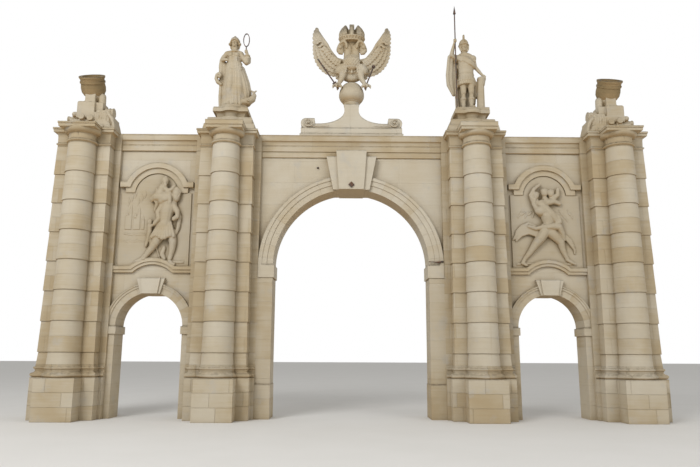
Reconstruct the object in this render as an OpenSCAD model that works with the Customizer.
// Triumphal gateway of pale limestone: one screen wall with a carriage arch between two foot arches,
// four banded columns in front of stepped piers, and carved figures above the cornice.
// Millimetres. X runs along the wall, the front faces -Y, and Z is up from the ground.
// The origin is on the ground, in the middle of the plan.

/* [Openings] */
// Width of the carriage arch
main_opening_w = 4200; // [3700:20:4740]
// Crown of the carriage arch above the ground
main_crown_z = 6120; // [5800:10:6240]
// Width of the moulded band round the carriage arch
main_band_w = 400; // [350:5:450]
// Height of the impost blocks of the carriage arch
main_impost_h = 350; // [300:5:400]
// Width of a foot arch
side_opening_w = 1770; // [1600:10:1990]
// Crown of a foot arch above the ground
side_crown_z = 3250; // [3000:10:3300]
// Wall left between a foot arch and the pier beside it
side_jamb_w = 160; // [140:5:180]
// Width of the moulded band round a foot arch
side_band_w = 270; // [240:5:300]
// Height of the impost blocks of a foot arch
side_impost_h = 205; // [180:5:240]
// Thickness of the screen wall
wall_t = 550; // [450:10:650]

/* [Piers] */
// Half width of the plain pier behind a strip
pier_half_w = 900; // [860:10:1000]
// Projection of the plain pier from the wall face
pier_proj = 120; // [90:5:150]
// Half width of the banded strip on a pier
strip_half_w = 710; // [640:10:740]
// Projection of the banded strip from the wall face
strip_proj = 450; // [400:10:500]
// Underside of the capitals, where the bands end
neck_z = 7200; // [7000:10:7400]
// Height of the lowest joint between two bands
first_joint_z = 1680; // [1600:10:1740]
// Height of one band
band_h = 784; // [740:1:820]
// Overhang of each band over the one below it
band_lip = 22; // [10:1:30]

/* [Columns] */
// Distance of the column axis in front of the wall face
column_out = 540; // [500:10:600]
// Column radius just under the capital
column_top_r = 358; // [330:1:380]
// Column radius just above the base
column_foot_r = 392; // [385:1:420]
// Half width of the square slab over the capital, and of the square plinth
slab_half_w = 500; // [480:10:540]
// Top of the plinths
plinth_z = 1050; // [950:10:1150]
// Height of the base mouldings on the plinths
base_h = 330; // [300:5:370]

/* [Cornice and top] */
// Height of the entablature from the underside of the capitals to the top of the cornice
entablature_h = 490; // [470:5:520]
// Overhang of the cornice
cornice_over = 120; // [100:5:140]
// Height of the plinth under a standing figure
statue_plinth_h = 780; // [740:10:820]
// Radius of the globe under the eagle
globe_r = 350; // [320:5:370]
// Middle of the globe above the top of the cornice
globe_rise = 1310; // [1280:5:1340]
// Height of the blocks that carry the mortars
mortar_block_h = 825; // [780:5:870]
// Length of a carved mortar
mortar_h = 580; // [520:10:620]
// Radius of a carved mortar at its rim
mortar_r = 350; // [330:5:370]

/* [Finish] */
// Colour of the pale stone
stone_colour = "#cfc3a6";
// Colour of the warmer stone of piers and carvings
warm_colour = "#c4b48e";
// Colour of the dark iron
iron_colour = "#3a332b";
// Segments of a full circle
round_fn = 96; // [48:12:144]

/* [Hidden] */
$fn = round_fn;
// Wide arcs get more segments, and carved limbs get few.
arc_fn = 3 * round_fn;
limb_fn = 12;
rod_fn = 16;
eps = 1;

pier_names = ["left_outer", "left_inner", "right_inner", "right_outer"];

// Plan: the pieces follow each other outwards from the middle of the carriage arch.
main_r = main_opening_w / 2;
side_r = side_opening_w / 2;
bay_half_w = side_r + side_jamb_w;
centre_half_w = main_r + main_band_w;
inner_axis_x = centre_half_w + pier_half_w;
side_x = inner_axis_x + pier_half_w + bay_half_w;
outer_axis_x = side_x + bay_half_w + pier_half_w;
pier_xs = [-outer_axis_x, -inner_axis_x, inner_axis_x, outer_axis_x];
// An outer pier ends flush with its strip on the side away from the gate.
function pier_x0(k) = k == 0 ? pier_xs[k] - strip_half_w : pier_xs[k] - pier_half_w;
function pier_x1(k) = k == 3 ? pier_xs[k] + strip_half_w : pier_xs[k] + pier_half_w;

// The front stands out further than the back, so the wall is set to leave the plan in the middle.
front_reach = column_out + slab_half_w;
back_reach = wall_t + strip_proj + cornice_over;
wall_y = (front_reach - back_reach) / 2;
wall_back = wall_y + wall_t;
wall_mid_y = wall_y + wall_t / 2;
column_y = wall_y - column_out;

// Heights
main_spring = main_crown_z - main_r;
side_spring = side_crown_z - side_r;
base_top_z = plinth_z + base_h;
cornice_z = neck_z + entablature_h;
// The wall cornice stays a little lower than that of the piers.
wall_top_z = cornice_z - 20;
fascia_h = 160;
fascia_proj = 38;
fascia_z = neck_z - fascia_h;
statue_z = cornice_z + statue_plinth_h;
globe_z = cornice_z + globe_rise;
mortar_block_z = cornice_z + mortar_block_h;
mortar_lift = 285;
mortar_z = mortar_block_z + mortar_lift;

// Steps of the arch bands: where each begins across the band, and how far it stands out.
main_steps = [[0, 100], [0.42, 120], [0.75, 140]];
side_steps = [[0, 60], [0.62, 80], [0.85, 100]];
impost_in = 35;
main_jamb_proj = 120;
side_jamb_proj = 60;
jamb_plinth_h = 880;
jamb_plinth_out = 40;

// Panels on the wings: a string course below, a relief, and a hood over it.
string_z = 3790;
string_h = 180;
hump_r = 740;
hump_z = string_z + 225 - hump_r;
string_steps = [[0, 80, 70], [80, string_h, 100]];
hood_z = 5950;
hood_r = 600;
hood_step_r = 150;
hood_proj = [70, 120];
hood_ear_z = 6000;
hood_ear_l = 250;
relief_half_w = 960;
relief_t = 40;

// Keystones have a tall face and lower wings. A flare is given by its half widths at the foot and at the top.
keystone_drop = 30;
main_key_foot = main_crown_z - keystone_drop;
main_key_face = flare([340, 420], main_key_foot, neck_z);
main_key_wings = flare([500, 690], main_key_foot, fascia_z);
main_key_proj = 260;
rosette_half = 60;
side_key_foot = side_crown_z - keystone_drop;
side_key_top = side_key_foot + 420;
side_key_face = flare([200, 260], side_key_foot, side_key_top);
side_key_wings = flare([255, 375], side_key_foot, side_key_top);
side_key_proj = 170;
wing_share = 0.75;

// The figures stand over the inner columns in the middle of the wall's thickness, and the mortars lean forward.
figure_y = wall_mid_y - 85;
figure_base_h = 90;
mirror_at = [-inner_axis_x + 336, figure_y - 110, statue_z + 2157];
mirror_half = [95, 209];
mirror_grip_l = 210;
mirror_grip_r = 16;
spear_at = [inner_axis_x - 384, figure_y - 130];
spear_r = 17;
spear_l = 3300;
spear_tip_h = 260;
mortar_y = wall_y - 10;
mortar_tilt = 32;

// Eagle group: the globe is cut flat at its foot and at its top, where the eagle stands.
globe_half_h = 1.2 * globe_r;
globe_cut = [0.83, 0.9];
globe_cup_h = 150;
globe_foot_z = globe_z - globe_cut[0] * globe_half_h;
globe_bed_z = globe_z + globe_cut[1] * globe_half_h;
eagle_foot_z = globe_z + globe_half_h;
eagle_y = wall_mid_y - 40;
claw_y = eagle_y - 180;
wing_x = 225;
// The upper edge of a wing, from the shoulder to the tip, measured from the eagle's foot.
wing_upper = [[0, 690], [294, 715], [460, 763], [580, 915], [669, 1052], [740, 1240],
    [880, 1433], [985, 1620]];
thigh_x = 420;
thigh_h = 480;
wing_tips = 14;
sword_r = 20;

// Outlines

// A profile is a list of [overhang, height] from the bottom up. These close it into an outline.
function two_sided(a, b, profile) = concat(
    [for (p = profile) [b + p[0], p[1]]],
    [for (i = [len(profile) - 1:-1:0]) [a - profile[i][0], profile[i][1]]]);
function about_axis(r, profile) = concat(
    [[0, profile[0][1]]],
    [for (p = profile) [r + p[0], p[1]]],
    [[0, profile[len(profile) - 1][1]]]);
function one_sided(far, a, profile) = concat(
    [[far, profile[0][1]]],
    [for (p = profile) [a - p[0], p[1]]],
    [[far, profile[len(profile) - 1][1]]]);

// Points of a quarter curve: hollow like a cavetto, or full like an ovolo.
function cavetto(from_over, to_over, z0, z1, steps = 5) = [for (i = [0:steps])
    let (a = 90 * i / steps) [from_over + (to_over - from_over) * (1 - cos(a)), z0 + (z1 - z0) * sin(a)]];
function ovolo(from_over, to_over, z0, z1, steps = 5) = [for (i = [0:steps])
    let (a = 90 * i / steps) [from_over + (to_over - from_over) * sin(a), z0 + (z1 - z0) * (1 - cos(a))]];
function flare(half_w, foot, top) =
    [[-half_w[0], foot], [half_w[0], foot], [half_w[1], top], [-half_w[1], top]];
function torus(over, z0, z1, steps = 8) = [for (i = [0:steps])
    let (a = 180 * i / steps - 90) [over + (z1 - z0) / 2 * cos(a), (z0 + z1) / 2 + (z1 - z0) / 2 * sin(a)]];

// The bands: each is widest at its foot and steps over the next one down.
function band_joints() = [for (k = [0:6]) first_joint_z + k * band_h];
function band_profile(slope) = let (zs = concat([base_top_z], band_joints(), [neck_z]))
    [for (k = [0:len(zs) - 2]) for (end = [0, 1])
        let (z = zs[k + end]) [slope * (neck_z - z) + (end == 0 ? band_lip : 0), z]];

cornice_profile = concat(
    [[0, neck_z], [0, neck_z + 20], [26, neck_z + 26], [26, neck_z + 64], [0, neck_z + 70]],
    cavetto(4, 62, cornice_z - 240, cornice_z - 128),
    [[cornice_over - 22, cornice_z - 124], [cornice_over - 14, cornice_z - 58]],
    [[cornice_over - 30, cornice_z - 52], [cornice_over, cornice_z - 44], [cornice_over, cornice_z]]);
base_profile = concat(
    [[110, plinth_z]], torus(60, plinth_z + 10, plinth_z + 120),
    [[55, plinth_z + 125], [25, plinth_z + 160], [40, plinth_z + 200]],
    torus(30, plinth_z + 205, plinth_z + 270),
    [[26, plinth_z + 275], [26, base_top_z - 20], [band_lip, base_top_z]]);
wall_cornice_profile = concat(
    [[20, neck_z], [55, neck_z + 10], [55, neck_z + 165], [40, neck_z + 170], [40, neck_z + 185]],
    cavetto(44, 90, neck_z + 190, cornice_z - 190),
    [[cornice_over - 15, cornice_z - 186], [cornice_over - 10, cornice_z - 50]],
    [[cornice_over, cornice_z - 44], [cornice_over, wall_top_z]]);
fascia_profile = [[0, fascia_z], [fascia_proj, fascia_z + 5], [fascia_proj, neck_z - 6]];

// Solids made from outlines

// Extrudes a [y, z] outline along X.
module along_x(x0, x1, outline) {
    translate([x0, 0, 0]) rotate([90, 0, 90]) linear_extrude(x1 - x0) polygon(outline);
}

// Extrudes an [x, z] outline, or 2D shapes, along Y.
module along_y(y0, y1, outline = []) {
    translate([0, y1, 0]) rotate([90, 0, 0]) linear_extrude(y1 - y0) {
        if (len(outline) > 0) polygon(outline);
        children();
    }
}

// Two extrusions of one profile meet in mitred corners on all four sides of a block.
module moulded_block(x0, x1, y0, y1, profile) {
    reach = max([for (p = profile) p[0]]) + eps;
    intersection() {
        along_x(x0 - reach, x1 + reach, two_sided(y0, y1, profile));
        along_y(y0 - reach, y1 + reach, two_sided(x0, x1, profile));
    }
}

module box(x0, x1, y0, y1, z0, z1) {
    translate([x0, y0, z0]) cube([x1 - x0, y1 - y0, z1 - z0]);
}

module mirrored_if(flip) {
    mirror([flip ? 1 : 0, 0, 0]) children();
}

// Half of a ring above its springing, as a 2D shape.
module half_ring(inner_r, outer_r, spring) {
    intersection() {
        translate([0, spring]) difference() {
            circle(outer_r, $fn = arc_fn);
            circle(inner_r, $fn = arc_fn);
        }
        translate([-outer_r, spring]) square([2 * outer_r, outer_r]);
    }
}

// Keystones

module keystone(face, wings, proj) {
    along_y(wall_y - proj * wing_share, wall_back + proj * wing_share, wings);
    along_y(wall_y - proj, wall_back + proj, face);
}

module main_keystone() {
    color(stone_colour) keystone(main_key_face, main_key_wings, main_key_proj);
}

module side_keystones() {
    color(stone_colour) for (side = [-1, 1]) translate([side * side_x, 0, 0])
        keystone(side_key_face, side_key_wings, side_key_proj);
}

module keystone_rosette() {
    side = 2 * rosette_half;
    color(iron_colour) translate([0, wall_y - main_key_proj, main_key_foot + side]) rotate([0, 45, 0])
        translate([-rosette_half, -rosette_half / 2, -rosette_half]) cube([side, rosette_half / 2, side]);
}

// Walls and arches

module wall_over_arch(half_w, arch_r, spring, top) {
    along_y(wall_y, wall_back) difference() {
        translate([-half_w, spring]) square([2 * half_w, top - spring]);
        translate([0, spring]) circle(arch_r, $fn = arc_fn);
        children();
    }
}

module centre_wall() {
    color(stone_colour)
        wall_over_arch(centre_half_w, centre_half_w, main_spring, fascia_z) polygon(main_key_wings);
}

// The arch ring with its stepped fasciae, springing from impost blocks.
module main_arch() {
    impost_proj = main_steps[2][1];
    color(stone_colour) {
        for (s = main_steps)
            along_y(wall_y - s[1], wall_back + s[1]) difference() {
                half_ring(main_r + s[0] * main_band_w, centre_half_w, main_spring);
                polygon(main_key_wings);
            }
        for (flip = [false, true]) mirrored_if(flip)
            box(main_r - impost_in, centre_half_w, wall_y - impost_proj, wall_back + impost_proj,
                main_spring - main_impost_h, main_spring);
    }
}

module main_jamb(side) {
    color(stone_colour) mirrored_if(side < 0) {
        box(main_r, centre_half_w, wall_y - main_jamb_proj, wall_back + main_jamb_proj,
            jamb_plinth_h, main_spring - main_impost_h);
        box(main_r - jamb_plinth_out / 4, centre_half_w, wall_y - main_jamb_proj - jamb_plinth_out,
            wall_back + main_jamb_proj + jamb_plinth_out, 0, jamb_plinth_h);
    }
}

module wing_wall(side) {
    color(stone_colour) translate([side * side_x, 0, 0])
        wall_over_arch(bay_half_w, side_r + side_band_w, side_spring, neck_z) polygon(side_key_wings);
}

module side_arch(side) {
    impost_proj = side_steps[2][1];
    color(stone_colour) translate([side * side_x, 0, 0]) {
        for (s = side_steps)
            along_y(wall_y - s[1], wall_back + s[1]) intersection() {
                difference() {
                    half_ring(side_r + s[0] * side_band_w, side_r + side_band_w, side_spring);
                    polygon(side_key_wings);
                }
                translate([-bay_half_w, 0]) square([2 * bay_half_w, side_crown_z + side_band_w]);
            }
        for (flip = [false, true]) mirrored_if(flip) {
            box(side_r - impost_in, bay_half_w, wall_y - impost_proj, wall_back + impost_proj,
                side_spring - side_impost_h, side_spring);
            box(side_r, bay_half_w, wall_y - side_jamb_proj, wall_back + side_jamb_proj,
                0, side_spring - side_impost_h);
        }
    }
}

// Wing panels, on the front face only

module hump_disc(rise) {
    translate([0, hump_z]) circle(hump_r + rise, $fn = arc_fn);
}

// A string course on each wing that swings up over the keystone.
module string_courses() {
    color(stone_colour) for (side = [-1, 1]) translate([side * side_x, 0, 0]) for (l = string_steps)
        along_y(wall_y - l[2], wall_y) intersection() {
            difference() {
                union() {
                    translate([-bay_half_w, string_z + l[0]]) square([2 * bay_half_w, l[1] - l[0]]);
                    hump_disc(l[1]);
                }
                hump_disc(l[0]);
            }
            translate([-bay_half_w, string_z + l[0]]) square([2 * bay_half_w, hump_r]);
        }
}

// The hood over each relief: an arch whose moulding turns outwards at both feet, in two steps.
module hood_moulds() {
    color(stone_colour) for (side = [-1, 1]) translate([side * side_x, 0, 0]) for (i = [0, 1])
        along_y(wall_y - hood_proj[i], wall_y) {
            inner = hood_r + i * hood_step_r;
            outer = inner + hood_step_r;
            ear_z = hood_ear_z + i * hood_step_r;
            ear_x = inner + hood_ear_l;
            difference() {
                union() {
                    intersection() {
                        translate([0, hood_z]) circle(outer, $fn = arc_fn);
                        translate([-outer, ear_z]) square([2 * outer, 2 * hood_r]);
                    }
                    translate([-ear_x, ear_z]) square([2 * ear_x, hood_step_r]);
                }
                translate([0, hood_z]) circle(inner, $fn = arc_fn);
            }
        }
}

// The ground of a relief: a panel with an arched head, cut out over the hump of the string course.
module relief_ground() {
    along_y(wall_y - relief_t, wall_y) difference() {
        union() {
            translate([-relief_half_w, string_z + string_h])
                square([2 * relief_half_w, hood_ear_z - string_z - string_h]);
            intersection() {
                translate([0, hood_z]) circle(hood_r, $fn = round_fn);
                translate([-hood_r, hood_ear_z - eps]) square([2 * hood_r, hood_r]);
            }
        }
        hump_disc(string_h);
    }
}

// Carved figures

// Balls joined one after the other, each given as [x, y, z, radius]: an arm, a leg, a neck, a tail.
module chain(balls) {
    for (i = [0:len(balls) - 2]) hull() for (b = [balls[i], balls[i + 1]])
        translate([b[0], b[1], b[2]]) sphere(b[3], $fn = limb_fn);
}

// Balls of a relief lie in the panel, so only their front half shows. They are given as [x, z, radius].
module relief_chain(balls) {
    chain([for (b = balls) [b[0], wall_y - relief_t, b[1], b[2]]]);
}

// Cloth that hangs in folds and narrows towards its top.
module pleats(h, half_w, half_d, top, folds, depth = 0.09) {
    n = 4 * folds;
    linear_extrude(h, scale = top) polygon([for (i = [0:n - 1])
        let (a = 360 * i / n, r = 1 + depth * cos(folds * a)) [half_w * r * cos(a), half_d * r * sin(a)]]);
}

module head_at(p, r) {
    translate(p) scale([0.86, 1, 1.2]) sphere(r, $fn = limb_fn);
}

// A warrior in a pleated tunic who strides to the left with an old man on the shoulders and a child ahead.
module left_relief() {
    color(warm_colour) translate([-side_x, 0, 0]) {
        relief_ground();
        front_half() {
            relief_chain([[180, 5230, 150], [160, 5480, 190]]);
            relief_chain([[60, 4760, 190], [180, 5080, 170]]);
            relief_chain([[330, 4800, 180], [180, 5080, 170]]);
            relief_chain([[60, 4760, 130], [-130, 4420, 100], [-420, 4130, 60]]);
            relief_chain([[330, 4780, 130], [380, 4440, 100], [330, 4190, 60]]);
            relief_chain([[-10, 5560, 100], [-130, 5330, 80], [0, 5160, 60]]);
            relief_chain([[330, 5520, 100], [440, 5280, 80], [370, 5140, 60]]);
            relief_chain([[250, 5700, 110], [-120, 5860, 120], [-280, 5700, 70]]);
            relief_chain([[90, 6130, 115], [60, 5960, 90]]);
            relief_chain([[-150, 5080, 70], [-220, 4780, 60]]);
        }
    }
}

// A naked warrior with the legs apart who wrestles a winged figure above the shoulders.
module right_relief() {
    color(warm_colour) translate([side_x, 0, 0]) {
        relief_ground();
        front_half() {
            relief_chain([[-40, 5260, 170], [40, 5020, 150], [120, 4860, 150]]);
            relief_chain([[60, 4860, 140], [-180, 4620, 110], [-450, 4150, 70]]);
            relief_chain([[200, 4850, 140], [400, 4620, 110], [470, 4190, 70]]);
            relief_chain([[-120, 5380, 100], [220, 5300, 80], [300, 5120, 70]]);
            relief_chain([[-100, 5560, 110], [-80, 5700, 120]]);
            relief_chain([[-180, 5860, 110], [100, 5900, 130], [320, 5820, 80]]);
            relief_chain([[60, 6180, 110], [140, 6000, 90]]);
            relief_chain([[-240, 5140, 80], [-480, 5000, 90], [-560, 4840, 50]]);
        }
    }
}

// Keeps what stands in front of the wall face and above the string course.
module front_half() {
    difference() {
        intersection() {
            union() children();
            box(-bay_half_w, bay_half_w, wall_y - 2 * hood_r, wall_y - eps, string_z + string_h, neck_z);
        }
        along_y(wall_y - hood_r, wall_y) hump_disc(string_h + eps);
    }
}

// Cornices on the wall, front and back

module centre_cornice() {
    color(stone_colour) difference() {
        along_x(-centre_half_w, centre_half_w,
            two_sided(wall_y, wall_back, concat(fascia_profile, wall_cornice_profile)));
        along_y(wall_y - main_key_proj, wall_back + main_key_proj, main_key_face);
    }
}

module wing_cornices() {
    color(stone_colour) for (side = [-1, 1])
        along_x(side * side_x - bay_half_w, side * side_x + bay_half_w,
            two_sided(wall_y, wall_back, wall_cornice_profile));
}

// Piers and columns

module pier(k) {
    color(warm_colour) {
        box(pier_x0(k), pier_x1(k), wall_y - pier_proj, wall_back + pier_proj, base_top_z, neck_z);
        moulded_block(pier_xs[k] - strip_half_w, pier_xs[k] + strip_half_w,
            wall_y - strip_proj, wall_back + strip_proj, band_profile(0));
    }
}

module pedestal(k) {
    plinth = concat([[110, 0]], base_profile);
    color(stone_colour) {
        along_x(pier_x0(k), pier_x1(k), two_sided(wall_y - pier_proj, wall_back + pier_proj, plinth));
        moulded_block(pier_xs[k] - strip_half_w, pier_xs[k] + strip_half_w,
            wall_y - strip_proj, wall_back + strip_proj, plinth);
        translate([pier_xs[k], column_y, 0]) {
            rotate_extrude() polygon(about_axis(column_foot_r, base_profile));
            box(-slab_half_w, slab_half_w, -slab_half_w, column_out, 0, plinth_z);
        }
    }
}

// The column stands half inside the pier, so what is built ends against the bands of the strip.
module column(k) {
    slope = (column_foot_r - column_top_r) / (neck_z - base_top_z);
    half = 2 * column_foot_r;
    color(stone_colour) intersection() {
        translate([pier_xs[k], column_y, 0])
            rotate_extrude() polygon(about_axis(column_top_r, band_profile(slope)));
        along_x(pier_xs[k] - half, pier_xs[k] + half,
            one_sided(column_y - half, wall_y - strip_proj, band_profile(0)));
    }
}

module capital(k) {
    column_profile = concat(
        [[0, neck_z]], torus(10, neck_z + 5, neck_z + 75),
        [[0, neck_z + 80], [0, cornice_z - 250]],
        ovolo(20, 130, cornice_z - 245, cornice_z - 110),
        [[130, cornice_z - 100]]);
    slab_profile = [for (p = cornice_profile) if (p[1] > cornice_z - 126) [p[0] - cornice_over, p[1]]];
    // The slab stands up in front of what the capital carries.
    slab_top_h = 85;
    slab_top_back = wall_y - 360 - column_y;
    color(stone_colour) {
        box(pier_x0(k), pier_x1(k), wall_y - pier_proj, wall_back + pier_proj, neck_z, wall_top_z);
        moulded_block(pier_xs[k] - strip_half_w, pier_xs[k] + strip_half_w,
            wall_y - strip_proj, wall_back + strip_proj, cornice_profile);
        translate([pier_xs[k], column_y, 0]) {
            rotate_extrude() polygon(about_axis(column_top_r, column_profile));
            moulded_block(-slab_half_w, slab_half_w, -slab_half_w, column_out, slab_profile);
            box(-slab_half_w, slab_half_w, -slab_half_w, slab_top_back,
                cornice_z - eps, cornice_z + slab_top_h);
        }
    }
}

// Standing figures over the inner columns

// A low bowed block, and on it a hollow-sided plinth with a round bow at its front.
module statue_plinth(side) {
    low_h = 450;
    low_half_w = 620;
    low_half_t = 440;
    low_z = cornice_z + low_h;
    attic_h = 230;
    attic_half_w = 690;
    attic_front = 340;
    attic_back = 200;
    die_half_w = 450;
    die_half_t = 350;
    cap_h = 150;
    bow_y = figure_y - 180;
    bow_r = 270;
    attic = [[40, cornice_z], [0, cornice_z + attic_h]];
    low_block = [[0, cornice_z + attic_h], [0, low_z - 30], [-20, low_z]];
    plinth_profile = concat([[0, low_z], [0, low_z + 30]], cavetto(-70, 0, low_z + 40, statue_z - cap_h),
        [[40, statue_z - cap_h + 10], [40, statue_z - 40], [25, statue_z - 30], [25, statue_z]]);
    color(stone_colour) translate([side * inner_axis_x, 0, 0]) {
        moulded_block(-attic_half_w, attic_half_w, wall_y - attic_front, wall_back + attic_back, attic);
        moulded_block(-low_half_w, low_half_w, figure_y - low_half_t, figure_y + low_half_t, low_block);
        translate([0, bow_y, 0]) rotate_extrude() polygon(about_axis(bow_r + 90, low_block));
        moulded_block(-die_half_w, die_half_w, figure_y - die_half_t, figure_y + die_half_t, plinth_profile);
        translate([0, bow_y, 0]) rotate_extrude() polygon(about_axis(bow_r, plinth_profile));
    }
}

// A robed woman who holds up a mirror, with a serpent at one hip and a dolphin at her feet.
module left_statue() {
    color(warm_colour) difference() {
        translate([-inner_axis_x, figure_y, statue_z]) {
            translate([20, 0, 0]) cylinder(r = 410, h = figure_base_h, $fn = 2 * limb_fn);
            translate([40, 0, figure_base_h]) pleats(1350, 345, 290, 0.55, 9);
            translate([-10, 0, 1400]) pleats(380, 180, 145, 1.2, 7, 0.05);
            chain([[-175, 0, 1735, 105], [125, 0, 1735, 105]]);
            chain([[-100, 0, 1780, 100], [60, 0, 1780, 100]]);
            chain([[-20, 0, 1790, 100], [-20, -10, 2010, 85]]);
            head_at([-20, -10, 2165], 138);
            for (x = [-150, 110]) translate([x, 0, 2119]) sphere(50, $fn = limb_fn);
            chain([[150, 0, 1740, 90], [345, -30, 1490, 80], [355, -110, 1800, 52]]);
            chain([[345, -30, 1490, 80], [385, -60, 1660, 70]]);
            chain([[-180, 0, 1740, 90], [-375, 0, 1590, 72], [-230, -130, 1563, 58]]);
            chain([[-320, 0, 1480, 115], [-290, 20, 900, 135], [-270, 40, 230, 140]]);
            chain([[-380, -50, 1130, 55], [-480, -60, 1090, 75], [-480, -60, 930, 65]]);
            chain([[190, 0, 1280, 140], [370, 20, 800, 165], [400, 30, 300, 150]]);
            chain([[330, -60, 260, 120], [440, -60, 400, 140], [600, -80, 470, 80], [560, -70, 600, 45]]);
        }
        mirror_handle();
    }
}

module mirror_handle() {
    translate(mirror_at - [0, 0, mirror_half[1] + mirror_grip_l])
        cylinder(r = mirror_grip_r, h = mirror_grip_l + mirror_grip_r, $fn = rod_fn);
}

module hand_mirror() {
    band = 22;
    color(iron_colour) {
        mirror_handle();
        translate(mirror_at + [0, mirror_grip_r, 0]) rotate([90, 0, 0])
            linear_extrude(2 * mirror_grip_r) difference() {
                scale(mirror_half) circle(1, $fn = 2 * rod_fn);
                scale([mirror_half[0] - band, mirror_half[1] - band]) circle(1, $fn = 2 * rod_fn);
            }
    }
}

// A soldier in a cuirass and pleated kilt, with a cloak, who holds a spear and rests a hand on a stump.
module right_statue() {
    color(warm_colour) difference() {
        translate([inner_axis_x, figure_y, statue_z]) {
            hull() for (x = [-90, 190]) translate([x, 0, 0])
                cylinder(r = 330, h = figure_base_h, $fn = 2 * limb_fn);
            chain([[-250, -170, 130, 45], [-230, -50, 160, 72], [-215, -40, 500, 78], [-190, 0, 830, 110]]);
            chain([[10, -230, 130, 45], [10, -110, 160, 75], [20, -60, 500, 80], [-10, 0, 830, 115]]);
            translate([-66, 0, 870]) pleats(340, 240, 195, 0.8, 9, 0.07);
            translate([-80, 0, 1170]) scale([1, 0.8, 1])
                cylinder(r1 = 205, r2 = 225, h = 520, $fn = 2 * limb_fn);
            chain([[-230, 0, 1680, 105], [70, 0, 1680, 112]]);
            chain([[-170, 0, 1730, 100], [0, 0, 1730, 105]]);
            chain([[-105, 0, 1740, 100], [-108, -10, 1900, 90]]);
            head_at([-109, -10, 2050], 130);
            translate([-109, 10, 2130]) scale([0.92, 1.1, 1.15]) sphere(170, $fn = limb_fn);
            chain([[-109, 10, 2300, 32], [-109, 10, 2430, 30]]);
            chain([[-240, 0, 1690, 90], [-488, -40, 1770, 78], [-382, -130, 2230, 55]]);
            chain([[-480, 60, 1680, 110], [-510, 90, 1180, 130], [-460, 90, 860, 100], [-430, 90, 560, 60]]);
            chain([[90, 0, 1660, 100], [150, 0, 1420, 70], [410, -50, 1145, 55]]);
            chain([[-270, -130, 1650, 60], [60, -110, 1500, 90]]);
            translate([350, 0, figure_base_h - eps]) cylinder(r1 = 92, r2 = 82, h = 920, $fn = limb_fn);
            translate([375, 0, 990]) cylinder(r1 = 100, r2 = 135, h = 110, $fn = limb_fn);
        }
        spear_shaft();
    }
}

module spear_shaft() {
    translate([spear_at[0], spear_at[1], statue_z + figure_base_h])
        cylinder(r = spear_r, h = spear_l - figure_base_h - spear_tip_h, $fn = rod_fn);
}

module spear() {
    color(iron_colour) {
        spear_shaft();
        translate([spear_at[0], spear_at[1], statue_z + spear_l - spear_tip_h])
            cylinder(r1 = 2.4 * spear_r, r2 = 2, h = spear_tip_h, $fn = rod_fn);
    }
}

// Trophies of arms over the outer columns, mirrored left and right

module bored_barrel(r, l) {
    difference() {
        cylinder(r = r, h = l);
        translate([0, 0, l / 2]) cylinder(r = r * 0.6, h = l);
    }
}

module trophy(side) {
    foot = cornice_z;
    front = wall_y - 360;
    back = wall_y + 140;
    attic_half_w = 500;
    attic = [[60, foot], [0, foot + 300], [-60, foot + 440]];
    bracket = [[150, foot], [470, foot], [470, foot + 640], [385, foot + 760], [385, foot + 950],
        [190, foot + 950], [150, foot + 850]];
    drape = [[450, foot], [850, foot], [780, foot + 240], [690, foot + 440], [450, foot + 520]];
    color(warm_colour) difference() {
        mirrored_if(side > 0) translate([-outer_axis_x, 0, 0]) {
            moulded_block(-attic_half_w, attic_half_w, wall_y - 300, wall_back + 100, attic);
            // The bed of the mortar, a block and a neck with a bracket beside them.
            box(-330, 160, front, back, foot, mortar_block_z);
            box(-140, 150, front + 20, back, foot, mortar_z + 40);
            along_y(front + 50, back, bracket);
            box(-420, -300, front + 60, back, foot, foot + 480);
            // Cannon barrels, a drum, and drapery that slopes down to the wall.
            translate([-400, front + 110, foot + 340]) rotate([0, -90, 0]) bored_barrel(85, 240);
            for (x = [-180, 60]) translate([x, front + 60, foot + 350])
                rotate([100, 0, 0]) bored_barrel(80, 160);
            translate([450, front + 130, foot + 530]) rotate([0, 90, 0]) cylinder(r = 115, h = 225);
            along_y(front + 30, back, drape);
        }
        mortar_at(side) rotate_extrude() polygon(about_axis(0, mortar_outline));
    }
}

// The outer form of a mortar from its breech up, with a ring and a moulded rim.
mortar_shape = [[0.5, 0], [0.76, 0.08], [0.92, 0.26], [0.95, 0.45], [0.91, 0.66], [0.97, 0.68], [0.97, 0.76],
    [0.91, 0.78], [0.93, 0.88], [1, 0.93], [1, 1]];
mortar_outline = [for (p = mortar_shape) [mortar_r * p[0], mortar_h * p[1]]];

module mortar_at(side) {
    translate([side * outer_axis_x, mortar_y, mortar_z]) rotate([mortar_tilt, 0, 0]) children();
}

module mortars() {
    bore_r = mortar_r * 0.72;
    bore_h = mortar_h * 0.62;
    bore = [[bore_r, mortar_h], [bore_r * 0.86, mortar_h - bore_h], [0, mortar_h - bore_h]];
    color(stone_colour) for (side = [-1, 1]) mortar_at(side)
        rotate_extrude() polygon(concat([[0, 0]], mortar_outline, bore));
}

// Eagle group over the carriage arch

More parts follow.
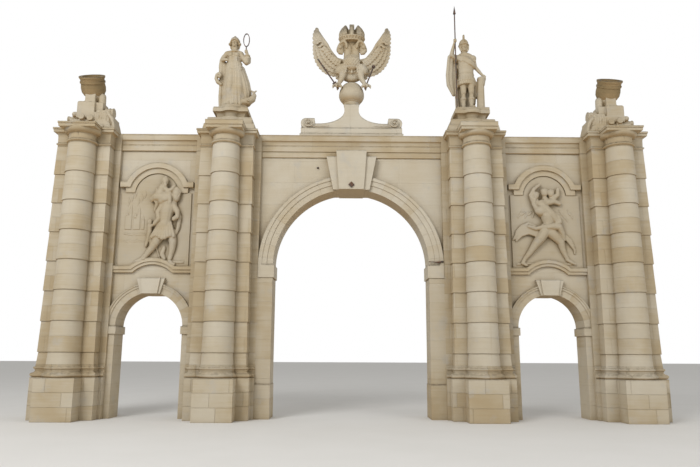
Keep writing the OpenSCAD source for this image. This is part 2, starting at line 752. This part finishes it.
// A stepped block with concave shoulders that run from two scrolls up to a slim neck.
module eagle_pedestal() {
    base_top = wall_top_z + 260;
    base_half_w = 1460;
    base_half_t = 330;
    half_t = 260;
    neck_half_w = 205;
    flare_w = 720;
    flare_h = 380;
    shoulder_z = base_top + 140;
    flare = [for (a = [0:5:90])
        [neck_half_w + flare_w * (1 - cos(a)), shoulder_z + flare_h * (1 - sin(a))]];
    half_front = concat([[0, shoulder_z - eps], [0, globe_foot_z], [neck_half_w, globe_foot_z]], flare,
        [[neck_half_w + flare_w, shoulder_z - eps]]);
    scroll_x0 = 1045;
    scroll_x1 = 1290;
    scroll_r = 145;
    scroll_out = 20;
    foot_profile = [[0, wall_top_z], [0, wall_top_z + 80], [-30, wall_top_z + 95], [-30, base_top]];
    color(stone_colour) {
        moulded_block(-base_half_w, base_half_w, wall_mid_y - base_half_t, wall_mid_y + base_half_t,
            foot_profile);
        along_y(wall_mid_y - half_t, wall_mid_y + half_t) {
            translate([-scroll_x1, base_top - eps]) square([2 * scroll_x1, shoulder_z - base_top + eps]);
            for (side = [-1, 1]) polygon([for (p = half_front) [side * p[0], p[1]]]);
        }
        for (flip = [false, true]) mirrored_if(flip) {
            reach = half_t + scroll_out;
            box(scroll_x0, scroll_x1, wall_mid_y - reach, wall_mid_y + reach,
                base_top, base_top + 2 * scroll_r);
            translate([scroll_x1, wall_mid_y + reach, base_top + scroll_r])
                rotate([90, 0, 0]) cylinder(r = scroll_r, h = 2 * reach);
        }
    }
}

// The globe rests in a shallow cup, and is cut flat where the cup stands and where the eagle stands.
module globe() {
    steps = 24;
    a0 = -asin(globe_cut[0]);
    a1 = asin(globe_cut[1]);
    meridian = [for (i = [0:steps]) let (a = a0 + (a1 - a0) * i / steps)
        [globe_r * cos(a), globe_half_h * sin(a)]];
    cup = [[0.68 * globe_r, 0], [0.74 * globe_r, 20], [0.92 * globe_r, globe_cup_h - 20],
        [0.92 * globe_r, globe_cup_h]];
    color(stone_colour) {
        translate([0, wall_mid_y, globe_z]) rotate_extrude() polygon(about_axis(0, meridian));
        translate([0, wall_mid_y, globe_foot_z]) rotate_extrude() polygon(about_axis(0, cup));
    }
}

// Where the eagle ends and its wings begin: the trunk is narrow above, and wide at the thighs.
module body_limit() {
    bed = globe_bed_z - eagle_foot_z;
    box(-wing_x, wing_x, -4 * wing_x, 4 * wing_x, bed, 4 * wing_x);
    box(-thigh_x, thigh_x, -4 * wing_x, 4 * wing_x, bed, thigh_h);
}

// A two-headed eagle on the flat top of the globe. The wings are set against its sides.
module eagle() {
    color(warm_colour) difference() {
        translate([0, eagle_y, eagle_foot_z]) {
            intersection() {
                union() {
                    translate([0, -60, 590]) scale([1, 0.75, 0.85]) sphere(245, $fn = 2 * limb_fn);
                    chain([[0, 0, 680, 200], [0, 20, 300, 200], [0, 30, 60, 190]]);
                    for (side = [-1, 1]) chain([[side * 130, -20, 500, 180], [side * 290, -40, 330, 190]]);
                    translate([0, 0, 300]) scale([1.9, 0.75, 1]) sphere(230, $fn = 2 * limb_fn);
                }
                body_limit();
            }
            for (side = [-1, 1]) mirrored_if(side < 0) {
                chain([[75, 0, 850, 130], [90, 0, 1120, 115], [190, -20, 1150, 95]]);
                chain([[190, -20, 1150, 95], [300, -30, 1040, 110], [340, -40, 950, 105],
                    [290, -60, 870, 50]]);
                chain([[240, -80, 260, 80], [330, -140, 40, 65], [400, -180, -190, 78]]);
                chain([[500, -190, -225, 42], [400, -180, -195, 60], [285, -160, -260, 48]]);
            }
            crown();
        }
        translate([0, wall_mid_y, globe_z]) scale([1, 1, globe_half_h / globe_r])
            sphere(globe_r, $fn = round_fn);
        held_rods();
    }
}

// The crown over both heads: a rim, two lobes shaped like pointed domes, and a tall bow between them.
module crown() {
    rim_z = 1225;
    rim_h = 90;
    rim_r = 350;
    top_z = 1755;
    bow_half_w = 65;
    lobe_x = 180;
    scale([1, 0.75, 1]) {
        translate([0, 0, rim_z]) cylinder(r1 = rim_r - 50, r2 = rim_r + 35, h = rim_h, $fn = 2 * limb_fn);
        for (side = [-1, 1]) hull() {
            translate([side * (lobe_x + 10), 0, rim_z + 165]) sphere(180, $fn = 2 * limb_fn);
            translate([side * lobe_x, 0, top_z - 190]) sphere(125, $fn = 2 * limb_fn);
            translate([side * lobe_x, 0, top_z - 40]) sphere(30, $fn = limb_fn);
        }
        translate([-bow_half_w, -2 * bow_half_w, rim_z])
            cube([2 * bow_half_w, 4 * bow_half_w, top_z - rim_z]);
        translate([-lobe_x, -lobe_x / 2, 900]) cube([2 * lobe_x, lobe_x, rim_z - 900 + eps]);
    }
}

// One feather as an outline, with its quill at p and its tip at q.
module feather(p, q, w) {
    l = norm(q - p);
    translate(p) rotate(-atan2(q[0] - p[0], q[1] - p[1]))
        polygon([[-w / 2, 0], [w / 2, 0], [w / 2, l - w / 2], [w / 4, l - w * 0.12], [0, l],
            [-w / 4, l - w * 0.12], [-w / 2, l - w / 2]]);
}

// Feathers fan out from the arm. Their tips lie on a quarter of an ellipse.
module wing_layer(reach, count) {
    for (i = [0:count - 1]) {
        t = i / (count - 1);
        quill = [300 + 420 * t, 560 + 440 * t];
        tip = [470 + 715 * sin(90 * t), 1035 - 845 * cos(90 * t)];
        feather(quill, quill + (tip - quill) * reach, 150);
    }
}

module eagle_wings() {
    tip = [[1050, 1670], [1140, 1580], [1152, 1250], [1150, 1000]];
    color(warm_colour) for (side = [-1, 1]) mirrored_if(side < 0) translate([0, eagle_y, eagle_foot_z])
        difference() {
            union() {
                along_y(-20, 110) {
                    wing_layer(1, wing_tips);
                    polygon(concat(wing_upper, tip, [[700, 560], [430, 330], [0, 330]]));
                }
                along_y(-70, -20) wing_layer(0.68, wing_tips - 3);
                along_y(-105, -70) wing_layer(0.4, wing_tips - 6);
                along_y(-130, 110)
                    polygon(concat(wing_upper, [[920, 1380], [800, 1080], [560, 740], [0, 480]]));
            }
            body_limit();
        }
}

// Rods held in the claws, from a lower to an upper end in the plane of the claws.
module rod(p, q, r) {
    d = q - p;
    translate(p) rotate([0, atan2(norm([d[0], d[1]]), d[2]), atan2(d[1], d[0])])
        cylinder(r = r, h = norm(d), $fn = rod_fn);
}

module held_rods() {
    sword_foot = [-375, claw_y, eagle_foot_z - 290];
    sword_tip = [-980, claw_y, eagle_foot_z + 624];
    guard = [50, 0, 35];
    guard_at = sword_foot + (sword_tip - sword_foot) * 0.2;
    sceptre_foot = [375, claw_y, eagle_foot_z - 290];
    sceptre_top = [630, claw_y, eagle_foot_z + 400];
    rod(sword_foot, sword_tip, sword_r);
    rod(guard_at - guard, guard_at + guard, sword_r);
    rod(sceptre_foot, sceptre_top, sword_r);
    translate(sceptre_top) sphere(55);
}

module sword_and_sceptre() {
    color(iron_colour) held_rods();
}

centre_wall();
main_arch();
main_keystone();
keystone_rosette();
main_jamb(-1);  // left_main_jamb
main_jamb(1);  // right_main_jamb
centre_cornice();
wing_wall(-1);  // left_wing_wall
wing_wall(1);  // right_wing_wall
side_arch(-1);  // left_side_arch
side_arch(1);  // right_side_arch
side_keystones();
string_courses();
hood_moulds();
left_relief();
right_relief();
wing_cornices();
for (k = [0:3]) {
    pedestal(k);
    pier(k);
    column(k);
    capital(k);
}
statue_plinth(-1);  // left_statue_plinth
statue_plinth(1);  // right_statue_plinth
left_statue();
hand_mirror();
right_statue();
spear();
trophy(-1);  // left_trophy
trophy(1);  // right_trophy
mortars();
eagle_pedestal();
globe();
eagle();
eagle_wings();
sword_and_sceptre();
